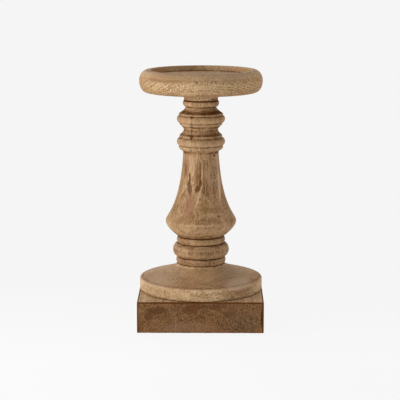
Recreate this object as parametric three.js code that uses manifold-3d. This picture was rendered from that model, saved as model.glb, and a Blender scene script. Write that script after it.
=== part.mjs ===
// A turned wooden candlestick: a recessed candle plate, a turned column, a round foot and a
// square plinth, with the screws, plug, washer and felt pads that belong to them.
// Millimetres, +Z up. The origin is under the middle of the plinth, level with the pads' faces.
import * as THREE from 'three';
import { mergeVertices } from 'three/addons/utils/BufferGeometryUtils.js';
import Module from 'manifold-3d';

const wasm = await Module();
wasm.setup();

// Plinth, a square block
const plinthWidth = 120;
const plinthHeight = 29.8;
const plinthArris = 0.5;

// Felt pads, glued into shallow pockets under the plinth's corners
const padRadius = 10;
const padThickness = 1.5;
const padPocketDepth = 1;
const padInset = 16;

// Round foot, a disc whose top rises to the column in a hollow cone
const footInset = 0.4;
const footRimHeight = 12;
const footConeHeight = 13.8;
const footSeatRadius = 23.4;
const footArris = 0.9;
const footHollow = 5.3;
const footHollowEase = 1.3;

// Column, from its shoulder on the foot up to its shoulder under the plate
const grooveRadius = 21.8;
const lowerRingRadius = 24.15;
const lowerRingHeight = 6.9;
const torusRadius = 27.3;
const torusHeight = 13.4;
const upperRingRadius = 23.5;
const upperRingHeight = 6.4;
const bellyRadius = 34.3;
const bellyRise = 15.4;
const bellyTurnHeight = 6.1;
const bellLength = 67.3;
const bellShoulderHeight = 5.6;
const bellDrawHeight = 13;
const bellDrawOver = 3;
const neckRadius = 17.1;
const neckFlareHeight = 4.3;
const neckFlareTurn = 1.9;
const grooveStep = 0.4;
const lowBeadFilletRadius = 21.3;
const lowBeadFilletHeight = 2.2;
const lowBeadRootRadius = 20.4;
const lowBeadRadius = 23.3;
const lowBeadBelow = 3.8;
const lowBeadAbove = 3.6;
const coveEdgeRadius = 20.6;
const coveLowerFilletHeight = 2.5;
const coveRadius = 16.5;
const coveBelow = 5.2;
const coveAbove = 5.1;
const coveTurn = 2;
const coveUpperFilletHeight = 1.6;
const highBeadRootRadius = 20.4;
const highBeadRadius = 23.25;
const highBeadBelow = 4.2;
const highBeadAbove = 3;
const highFilletRadius = 21.4;
const highFilletHeight = 1.7;
const flareHeight = 6.8;
const flareTurn = 2.7;
const waistRadius = 14.8;
const collarBeadRadius = 17.5;
const collarBeadBelow = 3.5;
const collarBeadAbove = 2.6;
const columnTopRadius = 15.9;

// Spigots turned on the column's two ends, and their fit in the foot and the plate
const footSpigotRadius = 10;
const footSpigotLength = 18;
const plateSpigotRadius = 7.5;
const plateSpigotLength = 12;
const spigotChamfer = 1;
const spigotFit = 0.2;
const spigotEndGap = 0.5;

// Candle plate, measured up from its seat on the column
const plateRadius = 59.3;
const plateWidestHeight = 19.1;
const rimAbove = 10;
const rimAboveWidth = 8;
const rimBelow = 11;
const rimBelowWidth = 6.8;
const recessRadius = 48.3;
const recessDepth = 5.2;
const recessArris = 0.5;
const plateCollarRadius = 16.4;
const plateCollarHeight = 1.7;
const plateCollarCove = 4.6;
const collarArris = 0.5;
const undersideRise = 0.6;

// Plug over the plate screw, flush with the recess floor
const plugRadius = 6;
const plugDepth = 6;
const plugFit = 0.15;
const plugChamfer = 0.6;
const plugLift = 0.3;

// Plate screw, countersunk
const plateScrewShank = 2.25;
const plateScrewCore = 1.6;
const plateScrewHead = 4.5;
const plateScrewHeadHeight = 2.6;
const plateScrewHeadLand = 0.4;
const plateScrewBite = 26;

// Base screw, with a hexagon head on a washer
const baseScrewShank = 3;
const baseScrewCore = 2.2;
const baseScrewAcrossFlats = 10;
const baseScrewHeadHeight = 4;
const baseScrewHeadBevel = 0.6;
const baseScrewBite = 30;
const washerRadius = 9;
const washerThickness = 1.6;
const baseCounterboreRadius = 11;
const baseCounterboreDepth = 9;

// Foot screws, pan headed, on a circle round the base screw
const footScrewCount = 4;
const footScrewCircle = 38;
const footScrewShank = 2;
const footScrewCore = 1.4;
const footScrewHead = 4;
const footScrewHeadHeight = 2.6;
const footScrewCrown = 1.4;
const footScrewBite = 10;
const footCounterboreRadius = 5;
const footCounterboreDepth = 9;

// Clearances round the screws, and how far each pilot hole runs past its screw
const shankFit = 0.3;
const pilotFit = 0.2;
const countersinkFit = 0.2;
const pilotEndGap = 1;
const tipTaper = 3;
const crossWidth = 1.1;
const crossDepth = 1.4;
const crossShare = 0.55;

// Facets round each kind of piece
const columnSides = 36;
const discSides = 54;
const smallSides = 20;
const screwSides = 12;
const hexagonSides = 6;
const quarterTurn = Math.PI / 2;
const cutMargin = 1;
const mergeTolerance = 1e-4;

// Levels that the pieces share
const plinthBottom = padThickness - padPocketDepth;
const plinthTop = plinthBottom + plinthHeight;
const footRadius = plinthWidth / 2 - footInset;
const footSeat = plinthTop + footRimHeight + footConeHeight;
const footSpigotEnd = footSeat - footSpigotLength;
const columnTop = footSeat + lowerRingHeight + torusHeight + upperRingHeight + bellyRise + bellLength
  + neckFlareHeight + lowBeadFilletHeight + lowBeadBelow + lowBeadAbove + coveLowerFilletHeight
  + coveBelow + coveAbove + coveUpperFilletHeight + highBeadBelow + highBeadAbove
  + highFilletHeight + flareHeight + collarBeadBelow + collarBeadAbove;
const plateSpigotEnd = columnTop + plateSpigotLength;
const plateWidest = columnTop + plateWidestHeight;
const plateTop = plateWidest + rimAbove;
const recessFloor = plateTop - recessDepth;
const plateScrewTop = recessFloor - plugDepth;
const plateScrewTip = plateSpigotEnd - plateScrewBite;
const footCounterboreFloor = plinthBottom + footCounterboreDepth;
const footScrewTip = plinthTop + footScrewBite;
const baseCounterboreFloor = plinthBottom + baseCounterboreDepth;
const baseScrewTip = footSpigotEnd + baseScrewBite;

// A solid for cutting and joining, from any closed geometry
function solidOf(geometry) {
  const bare = geometry.clone();
  bare.deleteAttribute('normal');
  bare.deleteAttribute('uv');
  const merged = mergeVertices(bare, mergeTolerance);
  return new wasm.Manifold(new wasm.Mesh({
    numProp: 3,
    vertProperties: new Float32Array(merged.attributes.position.array),
    triVerts: new Uint32Array(merged.index.array),
  }));
}

function geometryOf(solid) {
  const mesh = solid.getMesh();
  const geometry = new THREE.BufferGeometry();
  geometry.setAttribute('position', new THREE.BufferAttribute(mesh.vertProperties, 3));
  geometry.setIndex(new THREE.BufferAttribute(mesh.triVerts, 1));
  return geometry;
}

// Outlines are half sections: points of radius and height, anticlockwise round the solid
const point = (radius, height) => new THREE.Vector2(radius, height);

function follow(outline, curve, steps) {
  outline.push(...curve.getPoints(steps).slice(1));
}

// A quarter of an ellipse that swells from a root radius to the full one, and one that returns
function swell(outline, root, full, widest, height, steps) {
  const quarter = new THREE.EllipseCurve(root, widest, full - root, height, -quarterTurn, 0);
  follow(outline, quarter, steps);
}

function subside(outline, full, root, widest, height, steps) {
  const quarter = new THREE.EllipseCurve(root, widest, full - root, height, 0, quarterTurn);
  follow(outline, quarter, steps);
}

function turned(outline, sides) {
  const geometry = new THREE.LatheGeometry(outline, sides);
  geometry.rotateX(quarterTurn);
  return geometry;
}

// Candle plate: collar, underside, rounded rim, recess, then the stepped hole for plug and screw
function candlePlate() {
  const plugHole = plugRadius + plugFit;
  const screwHole = plateScrewShank + shankFit;
  const spigotHole = plateSpigotRadius + spigotFit;
  const sinkRadius = plateScrewHead + countersinkFit;
  const sinkDepth = plateScrewHeadHeight + countersinkFit;
  const collarTop = columnTop + plateCollarHeight;
  const underside = plateWidest - rimBelow;
  const outline = [
    point(spigotHole, plateSpigotEnd + spigotEndGap),
    point(spigotHole, columnTop),
    point(columnTopRadius, columnTop),
    point(plateCollarRadius, columnTop + collarArris),
    point(plateCollarRadius, collarTop),
  ];
  const cove = new THREE.QuadraticBezierCurve(
    point(plateCollarRadius, collarTop),
    point(plateCollarRadius, underside - undersideRise),
    point(plateCollarRadius + plateCollarCove, underside - undersideRise),
  );
  follow(outline, cove, 4);
  outline.push(point(plateRadius - rimBelowWidth, underside));
  swell(outline, plateRadius - rimBelowWidth, plateRadius, plateWidest, rimBelow, 6);
  subside(outline, plateRadius, plateRadius - rimAboveWidth, plateWidest, rimAbove, 6);
  outline.push(
    point(recessRadius + recessArris, plateTop),
    point(recessRadius, plateTop - recessArris),
    point(recessRadius, recessFloor + recessArris),
    point(recessRadius - recessArris, recessFloor),
    point(plugHole, recessFloor),
    point(plugHole, plateScrewTop),
    point(sinkRadius, plateScrewTop),
    point(sinkRadius, plateScrewTop - plateScrewHeadLand - countersinkFit),
    point(screwHole, plateScrewTop - sinkDepth),
    point(screwHole, plateSpigotEnd + spigotEndGap),
    point(spigotHole, plateSpigotEnd + spigotEndGap),
  );
  return turned(outline, discSides);
}

function platePlug() {
  const bottom = plateScrewTop + plugLift;
  return turned([
    point(0, bottom),
    point(plugRadius - plugChamfer, bottom),
    point(plugRadius, bottom + plugChamfer),
    point(plugRadius, recessFloor),
    point(0, recessFloor),
  ], smallSides);
}

// Column: lower pilot hole, spigot, shoulder, the mouldings in turn, upper spigot, pilot hole
function column() {
  const basePilot = baseScrewCore + pilotFit;
  const platePilot = plateScrewCore + pilotFit;
  const outline = [
    point(0, baseScrewTip + pilotEndGap),
    point(basePilot, baseScrewTip + pilotEndGap),
    point(basePilot, footSpigotEnd),
    point(footSpigotRadius - spigotChamfer, footSpigotEnd),
    point(footSpigotRadius, footSpigotEnd + spigotChamfer),
    point(footSpigotRadius, footSeat),
    point(grooveRadius, footSeat),
  ];
  let level = footSeat;
  const ring = (radius, height, steps) => {
    level += height / 2;
    swell(outline, grooveRadius, radius, level, height / 2, steps);
    subside(outline, radius, grooveRadius, level, height / 2, steps);
    level += height / 2;
  };
  const step = (radius, height) => {
    level += height;
    outline.push(point(radius, level));
  };
  ring(lowerRingRadius, lowerRingHeight, 3);
  ring(torusRadius, torusHeight, 5);
  ring(upperRingRadius, upperRingHeight, 3);

  const widest = level + bellyRise;
  const neck = widest + bellLength;
  follow(outline, new THREE.QuadraticBezierCurve(
    point(grooveRadius, level),
    point(bellyRadius, widest - bellyTurnHeight),
    point(bellyRadius, widest),
  ), 6);
  follow(outline, new THREE.CubicBezierCurve(
    point(bellyRadius, widest),
    point(bellyRadius, widest + bellShoulderHeight),
    point(neckRadius + bellDrawOver, widest + bellDrawHeight),
    point(neckRadius, neck),
  ), 11);
  level = neck + neckFlareHeight;
  follow(outline, new THREE.CubicBezierCurve(
    point(neckRadius, neck),
    point(neckRadius, neck + neckFlareTurn),
    point(lowBeadFilletRadius, level - neckFlareTurn),
    point(lowBeadFilletRadius, level),
  ), 4);
  step(lowBeadFilletRadius, lowBeadFilletHeight - grooveStep);
  step(lowBeadRootRadius, grooveStep);

  level += lowBeadBelow;
  swell(outline, lowBeadRootRadius, lowBeadRadius, level, lowBeadBelow, 3);
  subside(outline, lowBeadRadius, lowBeadRootRadius, level, lowBeadAbove, 3);
  level += lowBeadAbove;
  step(coveEdgeRadius, grooveStep);
  step(coveEdgeRadius, coveLowerFilletHeight - grooveStep);

  const coveMiddle = level + coveBelow;
  const coveTop = coveMiddle + coveAbove;
  follow(outline, new THREE.QuadraticBezierCurve(
    point(coveEdgeRadius, level),
    point(coveRadius, coveMiddle - coveTurn),
    point(coveRadius, coveMiddle),
  ), 4);
  follow(outline, new THREE.QuadraticBezierCurve(
    point(coveRadius, coveMiddle),
    point(coveRadius, coveMiddle + coveTurn),
    point(coveEdgeRadius, coveTop),
  ), 4);
  level = coveTop;
  step(coveEdgeRadius, coveUpperFilletHeight - grooveStep);
  step(highBeadRootRadius, grooveStep);

  level += highBeadBelow;
  swell(outline, highBeadRootRadius, highBeadRadius, level, highBeadBelow, 3);
  subside(outline, highBeadRadius, highBeadRootRadius, level, highBeadAbove, 3);
  level += highBeadAbove;
  step(highFilletRadius, grooveStep);
  step(highFilletRadius, highFilletHeight - grooveStep);

  const waist = level + flareHeight;
  follow(outline, new THREE.QuadraticBezierCurve(
    point(highFilletRadius, level),
    point(waistRadius, waist - flareTurn),
    point(waistRadius, waist),
  ), 5);
  level = waist + collarBeadBelow;
  swell(outline, waistRadius, collarBeadRadius, level, collarBeadBelow, 3);
  subside(outline, collarBeadRadius, columnTopRadius, level, collarBeadAbove, 3);

  outline.push(
    point(plateSpigotRadius, columnTop),
    point(plateSpigotRadius, plateSpigotEnd - spigotChamfer),
    point(plateSpigotRadius - spigotChamfer, plateSpigotEnd),
    point(platePilot, plateSpigotEnd),
    point(platePilot, plateScrewTip - pilotEndGap),
    point(0, plateScrewTip - pilotEndGap),
  );
  return turned(outline, columnSides);
}

// Where the foot screws stand, as seen from above
function footScrewPlaces() {
  const places = [];
  for (let index = 0; index < footScrewCount; index += 1) {
    const angle = (index + 0.5) * (2 * Math.PI / footScrewCount);
    places.push([footScrewCircle * Math.cos(angle), footScrewCircle * Math.sin(angle)]);
  }
  return places;
}

// A round cutter that runs up from below a face, wide at first and then narrow
function steppedCutter(bottom, wideRadius, stepHeight, narrowRadius, top) {
  return turned([
    point(0, bottom - cutMargin),
    point(wideRadius, bottom - cutMargin),
    point(wideRadius, stepHeight),
    point(narrowRadius, stepHeight),
    point(narrowRadius, top),
    point(0, top),
  ], smallSides);
}

function plainCutter(bottom, radius, top) {
  return turned([
    point(0, bottom - cutMargin),
    point(radius, bottom - cutMargin),
    point(radius, top),
    point(0, top),
  ], smallSides);
}

// Foot: the bore for the spigot, the hole for the base screw and the foot screws' pilot holes
function roundFoot() {
  const rimTop = plinthTop + footRimHeight;
  const spigotHole = footSpigotRadius + spigotFit;
  const screwHole = baseScrewShank + shankFit;
  const boreFloor = footSpigotEnd - spigotEndGap;
  const outline = [
    point(screwHole, boreFloor),
    point(screwHole, plinthTop),
    point(footRadius - footArris / 2, plinthTop),
    point(footRadius, plinthTop + footArris / 2),
    point(footRadius, rimTop - footArris),
  ];
  subside(outline, footRadius, footRadius - footArris, rimTop - footArris, footArris, 2);
  follow(outline, new THREE.CubicBezierCurve(
    point(footRadius - footArris, rimTop),
    point(footRadius - footArris, rimTop + footHollowEase),
    point(footSeatRadius, footSeat - footHollow),
    point(footSeatRadius, footSeat),
  ), 9);
  outline.push(
    point(spigotHole, footSeat),
    point(spigotHole, boreFloor),
    point(screwHole, boreFloor),
  );
  let solid = solidOf(turned(outline, discSides));
  const pilot = solidOf(plainCutter(plinthTop, footScrewCore + pilotFit, footScrewTip + pilotEndGap));
  for (const [x, y] of footScrewPlaces()) solid = solid.subtract(pilot.translate([x, y, 0]));
  return geometryOf(solid);
}

// Where the felt pads lie, one in each corner
function padPlaces() {
  const reach = plinthWidth / 2 - padInset;
  return [[reach, reach], [-reach, reach], [-reach, -reach], [reach, -reach]];
}

// Plinth: a block with softened edges, pockets for the pads and holes for the screws
function plinth() {
  const half = plinthWidth / 2 - plinthArris;
  const square = new THREE.Shape([
    point(-half, -half), point(half, -half), point(half, half), point(-half, half),
  ]);
  const block = new THREE.ExtrudeGeometry(square, {
    depth: plinthHeight - plinthArris * 2,
    bevelSize: plinthArris,
    bevelThickness: plinthArris,
    bevelSegments: 2,
  });
  block.translate(0, 0, plinthBottom + plinthArris);
  let solid = solidOf(block);
  const past = plinthTop + cutMargin;
  solid = solid.subtract(solidOf(steppedCutter(
    plinthBottom, baseCounterboreRadius, baseCounterboreFloor, baseScrewShank + shankFit, past,
  )));
  const footHole = solidOf(steppedCutter(
    plinthBottom, footCounterboreRadius, footCounterboreFloor, footScrewShank + shankFit, past,
  ));
  for (const [x, y] of footScrewPlaces()) solid = solid.subtract(footHole.translate([x, y, 0]));
  const pocket = solidOf(plainCutter(plinthBottom, padRadius + shankFit, padThickness));
  for (const [x, y] of padPlaces()) solid = solid.subtract(pocket.translate([x, y, 0]));
  return geometryOf(solid);
}

function feltPad() {
  return turned([
    point(0, 0), point(padRadius, 0), point(padRadius, padThickness), point(0, padThickness),
  ], smallSides);
}

// Screws are drawn head up, with the head's top at height 0 and the point below
function screwShaft(shank, core, threadStart, length) {
  return [
    point(0, -length),
    point(core, -length + tipTaper),
    point(core, -threadStart),
    point(shank, -threadStart + shank - core),
  ];
}

function cutCross(geometry, headRadius) {
  const arm = headRadius * crossShare * 2;
  const first = new THREE.BoxGeometry(arm, crossWidth, crossDepth * 2);
  const second = new THREE.BoxGeometry(crossWidth, arm, crossDepth * 2);
  return geometryOf(solidOf(geometry).subtract(solidOf(first)).subtract(solidOf(second)));
}

function countersunkScrew() {
  const length = plateScrewTop - plateScrewTip;
  const threadStart = plateScrewTop - plateSpigotEnd;
  const outline = screwShaft(plateScrewShank, plateScrewCore, threadStart, length);
  outline.push(
    point(plateScrewShank, -plateScrewHeadHeight),
    point(plateScrewHead, -plateScrewHeadLand),
    point(plateScrewHead, 0),
    point(0, 0),
  );
  return cutCross(turned(outline, screwSides), plateScrewHead);
}

function panHeadScrew() {
  const length = footScrewTip - footCounterboreFloor + footScrewHeadHeight;
  const threadStart = plinthTop - footCounterboreFloor + footScrewHeadHeight;
  const outline = screwShaft(footScrewShank, footScrewCore, threadStart, length);
  outline.push(
    point(footScrewShank, -footScrewHeadHeight),
    point(footScrewHead, -footScrewHeadHeight),
    point(footScrewHead, -footScrewCrown),
  );
  subside(outline, footScrewHead, 0, -footScrewCrown, footScrewCrown, 4);
  return cutCross(turned(outline, screwSides), footScrewHead);
}

// The hexagon head's underside lies on the washer, at the height of the head below its top
function hexagonScrew() {
  const headTop = baseCounterboreFloor - washerThickness - baseScrewHeadHeight;
  const threadStart = footSpigotEnd - headTop;
  const outline = screwShaft(baseScrewShank, baseScrewCore, threadStart, baseScrewTip - headTop);
  outline.push(point(baseScrewShank, -baseScrewHeadHeight / 2), point(0, -baseScrewHeadHeight / 2));
  const cornerRadius = baseScrewAcrossFlats / 2 / Math.cos(Math.PI / hexagonSides);
  const head = turned([
    point(0, -baseScrewHeadHeight),
    point(cornerRadius, -baseScrewHeadHeight),
    point(cornerRadius, -baseScrewHeadBevel),
    point(cornerRadius - baseScrewHeadBevel, 0),
    point(0, 0),
  ], hexagonSides);
  return geometryOf(solidOf(turned(outline, screwSides)).add(solidOf(head)));
}

function washer() {
  const hole = baseScrewShank + shankFit;
  return turned([
    point(hole, 0),
    point(washerRadius, 0),
    point(washerRadius, washerThickness),
    point(hole, washerThickness),
    point(hole, 0),
  ], smallSides);
}

// Finishes: waxed open-pored wood, zinc-plated steel and wool felt
const finishes = {
  plateWood: { color: '#c3a077', roughness: 0.62, metalness: 0 },
  columnWood: { color: '#b58f66', roughness: 0.62, metalness: 0 },
  footWood: { color: '#b8946c', roughness: 0.62, metalness: 0 },
  plinthWood: { color: '#8f6a48', roughness: 0.68, metalness: 0 },
  steel: { color: '#b9bcc0', roughness: 0.35, metalness: 1 },
  felt: { color: '#3a2f27', roughness: 1, metalness: 0 },
};

const candlestick = new THREE.Group();
candlestick.name = 'candlestick';

// Screws driven from beneath are turned over about X
function place(name, geometry, finish, x = 0, y = 0, z = 0, upsideDown = false) {
  const mesh = new THREE.Mesh(geometry, new THREE.MeshStandardMaterial(finishes[finish]));
  mesh.name = name;
  mesh.position.set(x, y, z);
  if (upsideDown) mesh.rotation.x = Math.PI;
  candlestick.add(mesh);
}

place('candle_plate', candlePlate(), 'plateWood');
place('plate_plug', platePlug(), 'plateWood');
place('plate_screw', countersunkScrew(), 'steel', 0, 0, plateScrewTop);
place('column', column(), 'columnWood');
place('round_foot', roundFoot(), 'footWood');
place('plinth', plinth(), 'plinthWood');

const washerBottom = baseCounterboreFloor - washerThickness;
place('base_screw', hexagonScrew(), 'steel', 0, 0, washerBottom - baseScrewHeadHeight, true);
place('base_washer', washer(), 'steel', 0, 0, washerBottom);

const footScrewTop = footCounterboreFloor - footScrewHeadHeight;
footScrewPlaces().forEach(([x, y], index) => {
  place(`foot_screw_${index + 1}`, panHeadScrew(), 'steel', x, y, footScrewTop, true);
});
padPlaces().forEach(([x, y], index) => {
  place(`felt_pad_${index + 1}`, feltPad(), 'felt', x, y);
});

export default candlestick;
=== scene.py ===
import math

import bmesh
import bpy
import numpy as np
from mathutils import Matrix, Vector, noise


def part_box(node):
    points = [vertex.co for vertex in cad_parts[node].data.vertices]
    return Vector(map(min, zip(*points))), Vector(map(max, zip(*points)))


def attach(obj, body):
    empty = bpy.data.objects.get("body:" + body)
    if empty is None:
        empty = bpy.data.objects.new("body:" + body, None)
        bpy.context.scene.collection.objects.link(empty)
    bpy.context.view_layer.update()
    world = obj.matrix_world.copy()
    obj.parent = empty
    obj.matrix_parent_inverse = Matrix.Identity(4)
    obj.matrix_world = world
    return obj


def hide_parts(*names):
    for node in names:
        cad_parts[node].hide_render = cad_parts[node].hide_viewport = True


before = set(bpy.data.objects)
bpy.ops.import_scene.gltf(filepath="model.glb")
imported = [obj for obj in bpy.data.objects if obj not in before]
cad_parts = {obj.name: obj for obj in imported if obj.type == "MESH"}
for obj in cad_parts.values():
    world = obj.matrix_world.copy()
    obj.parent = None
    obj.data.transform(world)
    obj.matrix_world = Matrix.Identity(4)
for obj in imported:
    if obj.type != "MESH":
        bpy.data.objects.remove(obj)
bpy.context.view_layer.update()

mm = 0.001
tiny = 1e-6
clearOf = 1  # how far a cutter reaches past a face
drillSides = 40
print("frame loaded:", len(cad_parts), "nodes")


def linear(hexColour):
    # sRGB hex to linear RGBA
    parts = [int(hexColour[i:i + 2], 16) / 255 for i in (1, 3, 5)]
    return tuple(c / 12.92 if c <= 0.04045 else ((c + 0.055) / 1.055) ** 2.4 for c in parts) + (1,)


def addNode(tree, kind, inputs, **settings):
    # An input is a value, a socket or another node, whose first output is then used
    node = tree.nodes.new(kind)
    for name, value in settings.items():
        setattr(node, name, value)
    for key, value in inputs.items() if isinstance(inputs, dict) else enumerate(inputs):
        if isinstance(value, bpy.types.Node):
            value = value.outputs[0]
        if isinstance(value, bpy.types.NodeSocket):
            tree.links.new(value, node.inputs[key])
        elif value is not None:
            node.inputs[key].default_value = value
    return node


def calc(tree, operation, *inputs, **settings):
    return addNode(tree, "ShaderNodeMath", inputs, operation=operation, **settings)


def calcVector(tree, operation, *inputs):
    return addNode(tree, "ShaderNodeVectorMath", inputs, operation=operation)


def scaled(tree, vector, factor):
    return addNode(tree, "ShaderNodeVectorMath", {"Vector": vector, "Scale": factor}, operation="SCALE")


def between(tree, value, start, end, least=0, most=1):
    # The least up to the start, the most from the end on, and even steps in between
    return addNode(tree, "ShaderNodeMapRange", [value, start, end, least, most])


def mottle(tree, space, size, detail, seed=None, roughness=0.5):
    # Noise in blotches of about the given size
    return addNode(tree, "ShaderNodeTexNoise", {
        "Vector": space, "W": seed, "Scale": 1 / size, "Detail": detail, "Roughness": roughness},
        noise_dimensions="3D" if seed is None else "4D")


def blend(tree, share, under, over, kind="MIX"):
    return addNode(tree, "ShaderNodeMix", {0: share, 6: under, 7: over},
                   data_type="RGBA", blend_type=kind).outputs[2]


def newMaterial(name):
    material = bpy.data.materials.new(name)
    material.use_nodes = True
    material.node_tree.nodes.clear()
    return material, material.node_tree


def coat(tree, inputs, height, depth, strength):
    # The shader over a bump, whose depth is in millimetres
    bump = addNode(tree, "ShaderNodeBump", {"Strength": strength, "Distance": depth * mm, "Height": height})
    shader = addNode(tree, "ShaderNodeBsdfPrincipled", {**inputs, "Normal": bump})
    addNode(tree, "ShaderNodeOutputMaterial", {"Surface": shader})


def putInScene(name, data):
    thing = bpy.data.objects.new(name, data)
    bpy.context.scene.collection.objects.link(thing)
    return thing


def discard(thing):
    data = thing.data
    bpy.data.objects.remove(thing)
    bpy.data.meshes.remove(data)


# Camera at the photograph's viewing angle
cameraSettings = {
    "lens": 129.6,
    "sensor": 36,
    "place": (0.01258, -1.3799, 0.3627),
    "pitch": 79.94,  # degrees up from straight down
    "turn": 0.56,  # degrees to the left
}


def makeCamera(settings):
    lens = bpy.data.cameras.new("camera")
    lens.lens = settings["lens"]
    lens.sensor_width = settings["sensor"]
    camera = putInScene("camera", lens)
    camera.location = settings["place"]
    camera.rotation_euler = (math.radians(settings["pitch"]), 0, math.radians(settings["turn"]))
    bpy.context.scene.camera = camera


makeCamera(cameraSettings)
print("camera placed")

# Plain soft studio: a low broad light on the left, one behind, little from above, and a pale table
# whose front throws light back up, most of it on the left
studio = {
    "background": "#f6f6f6",
    "surround": 0.95,  # at the horizon, fading to nothing overhead
    "floorSize": 40,
    "floorColour": "#e8e8e8",
    "glowLeft": 0.6, "glowRight": 0.28, "glowEdge": 0.15,  # light off the table; edge in metres
    "floorShadow": 0.08,  # share of the lit floor, and so of the shadow, that the camera sees
    "floorShown": 1.02,  # makes up for that share, so that the floor meets the background unseen
    # Azimuth, elevation, strength and angle
    "suns": {
        "keyLight": (-75, 6, 2.15, 30), "rimLight": (-150, 30, 0.6, 30),
        "topLight": (0, 90, 1.0, 60), "fillLight": (100, 6, 0.25, 30),
    },
}


def backgroundRays(tree):
    # Camera, glossy and transmission rays see the background as it is written
    rays = addNode(tree, "ShaderNodeLightPath", []).outputs
    seen = rays["Is Camera Ray"]
    for kind in ("Is Glossy Ray", "Is Transmission Ray"):
        seen = calc(tree, "MAXIMUM", seen, rays[kind])
    return seen


def makeWorld(settings):
    scene = bpy.context.scene
    scene.view_settings.view_transform = "Standard"
    scene.world = bpy.data.worlds.new("studio")
    scene.world.use_nodes = True
    tree = scene.world.node_tree
    tree.nodes.clear()
    towards = addNode(tree, "ShaderNodeTexCoord", []).outputs["Generated"]
    height = addNode(tree, "ShaderNodeSeparateXYZ", [towards]).outputs[2]
    level = between(tree, height, 0, 1, settings["surround"], 0)
    light = addNode(tree, "ShaderNodeBackground", {"Strength": level})
    shown = addNode(tree, "ShaderNodeBackground", {"Color": linear(settings["background"])})
    both = addNode(tree, "ShaderNodeMixShader", [backgroundRays(tree), light, shown])
    addNode(tree, "ShaderNodeOutputWorld", {"Surface": both})


def makeSun(name, azimuth, elevation, strength, angle):
    lamp = bpy.data.lights.new(name, "SUN")
    lamp.energy = strength
    lamp.angle = math.radians(angle)
    across, up = math.radians(azimuth), math.radians(elevation)
    towards = Vector((math.sin(across) * math.cos(up), -math.cos(across) * math.cos(up), math.sin(up)))
    putInScene(name, lamp).rotation_euler = towards.to_track_quat("Z", "Y").to_euler()


def floorMaterial(settings):
    # Matt and lit, but seen as the background with a faint shadow, and clear from below
    material, tree = newMaterial("studioFloor")
    matt = addNode(tree, "ShaderNodeBsdfDiffuse", {"Color": linear(settings["floorColour"])})
    place = addNode(tree, "ShaderNodeTexCoord", [])
    split = addNode(tree, "ShaderNodeSeparateXYZ", [place.outputs["Object"]]).outputs
    edge = settings["glowEdge"]
    across = between(tree, split[0], -edge, edge, settings["glowLeft"], settings["glowRight"])
    front = between(tree, split[1], edge, -edge)
    glow = addNode(tree, "ShaderNodeEmission", {"Strength": calc(tree, "MULTIPLY", across, front)})
    lit = addNode(tree, "ShaderNodeAddShader", [matt, glow])
    shown = addNode(tree, "ShaderNodeEmission", {
        "Color": linear(settings["background"]), "Strength": settings["floorShown"]})
    share = calc(tree, "MULTIPLY", backgroundRays(tree), 1 - settings["floorShadow"])
    both = addNode(tree, "ShaderNodeMixShader", [share, lit, shown])
    behind = addNode(tree, "ShaderNodeNewGeometry", []).outputs["Backfacing"]
    clear = addNode(tree, "ShaderNodeBsdfTransparent", [])
    shader = addNode(tree, "ShaderNodeMixShader", [behind, both, clear])
    addNode(tree, "ShaderNodeOutputMaterial", {"Surface": shader})
    return material


def makeFloor(settings):
    half = settings["floorSize"] / 2
    mesh = bpy.data.meshes.new("floor")
    mesh.from_pydata([(-half, -half, 0), (half, -half, 0), (half, half, 0), (-half, half, 0)], [],
                     [(0, 1, 2, 3)])
    mesh.materials.append(floorMaterial(settings))
    putInScene("floor", mesh)


makeWorld(studio)
for name, sun in studio["suns"].items():
    makeSun(name, *sun)
makeFloor(studio)
print("studio lit")

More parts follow.
